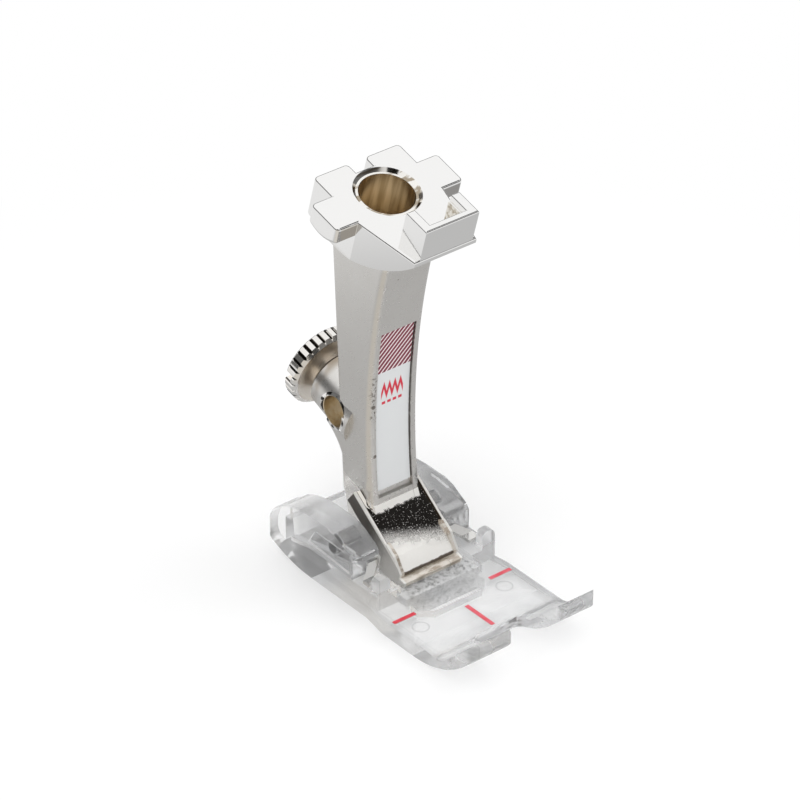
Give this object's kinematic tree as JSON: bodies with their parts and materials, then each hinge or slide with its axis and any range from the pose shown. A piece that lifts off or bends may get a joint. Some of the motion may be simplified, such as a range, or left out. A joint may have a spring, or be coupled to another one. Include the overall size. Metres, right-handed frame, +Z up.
{
  "type": "sewing machine presser foot",
  "caption": "Presser foot with a one-piece cast shank and crown, a knurled clamp screw and a hinged clear sole with printed guide marks.",
  "frame": {"origin": "on the sole's underside, on the foot's centre plane, straight below the hinge pin", "axes": "+X across the foot, -Y towards the toes, +Z up from the sole's underside"},
  "size_m": [0.0164, 0.0359, 0.0459],
  "materials": {
    "nickel": "polished nickel over a casting",
    "screw_nickel": "polished nickel",
    "pin_steel": "bright",
    "spring_steel": "bright",
    "clear_plastic": "clear",
    "label_white": "printed film",
    "mark_red": "print"
  },
  "bodies": {
    "sole": {"clear_sole": "clear_plastic", "hinge_pin": "pin_steel", "leaf_spring": "spring_steel", "left_mark": "mark_red", "middle_mark": "mark_red", "right_mark": "mark_red"},
    "shank": {"shank": "nickel", "front_label": "label_white"},
    "screw": {"clamp_screw": "screw_nickel"}
  },
  "joints": [
    {"name": "sole_rock", "type": "hinge", "parent": "sole", "child": "shank", "pos_m": [0, 0, 0.0048], "axis": [1, 0, 0], "range_deg": [-30, 0]},
    {"name": "screw_turn", "type": "hinge", "parent": "shank", "child": "screw", "pos_m": [0, 0.0069, 0.01826], "axis": [0, 0.9638, 0.2666], "range_deg": [0, 720]}
  ]
}
